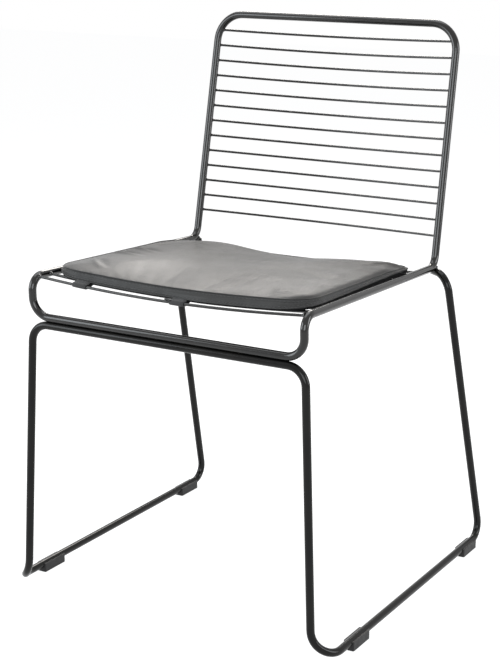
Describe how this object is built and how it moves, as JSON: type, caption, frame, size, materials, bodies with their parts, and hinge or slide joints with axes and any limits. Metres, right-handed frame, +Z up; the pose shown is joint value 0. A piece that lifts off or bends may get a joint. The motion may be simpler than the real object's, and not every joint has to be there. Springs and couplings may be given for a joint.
{
  "type": "wire mesh dining chair",
  "caption": "Dining chair of bent lacquered rod with floor runners, crosswise wire seat and back, clip-on glides and a thin strapped seat pad.",
  "frame": {"origin": "middle of the chair's bounding box in X and Y, on the floor under the glides", "axes": "+Z up, -Y to the front of the seat, +X to the viewer's right seen from the front; the frame is a mirror image of itself across X = 0"},
  "size_m": [0.5154, 0.5144, 0.789],
  "materials": {
    "black_lacquer": "gloss black lacquer",
    "black_plastic": "moulded matte",
    "black_leatherette": "soft satin sheen",
    "foam": "foam, hidden",
    "strap_fabric": "woven, matte"
  },
  "bodies": {
    "root": {"seat_back_frame": "black_lacquer", "leg_frame": "black_lacquer", "back_wire_01": "black_lacquer", "back_wire_02": "black_lacquer", "back_wire_03": "black_lacquer", "back_wire_04": "black_lacquer", "back_wire_05": "black_lacquer", "back_wire_06": "black_lacquer", "back_wire_07": "black_lacquer", "back_wire_08": "black_lacquer", "back_wire_09": "black_lacquer", "back_wire_10": "black_lacquer", "back_wire_11": "black_lacquer", "back_wire_12": "black_lacquer", "back_wire_13": "black_lacquer", "seat_wire_01": "black_lacquer", "seat_wire_02": "black_lacquer", "seat_wire_03": "black_lacquer", "seat_wire_04": "black_lacquer", "seat_wire_05": "black_lacquer", "seat_wire_06": "black_lacquer", "seat_wire_07": "black_lacquer", "seat_wire_08": "black_lacquer", "seat_wire_09": "black_lacquer", "seat_wire_10": "black_lacquer", "seat_wire_11": "black_lacquer", "seat_wire_12": "black_lacquer", "seat_wire_13": "black_lacquer", "seat_wire_14": "black_lacquer", "seat_wire_15": "black_lacquer", "glide_front_left": "black_plastic", "glide_front_right": "black_plastic", "glide_rear_left": "black_plastic", "glide_rear_right": "black_plastic", "pad_core": "foam", "pad_band": "black_leatherette", "pad_cover_top": "black_leatherette", "pad_cover_bottom": "black_leatherette", "strap_front_left": "strap_fabric", "strap_front_middle": "strap_fabric", "strap_rear_left": "strap_fabric", "strap_rear_right": "strap_fabric"}
  },
  "joints": []
}
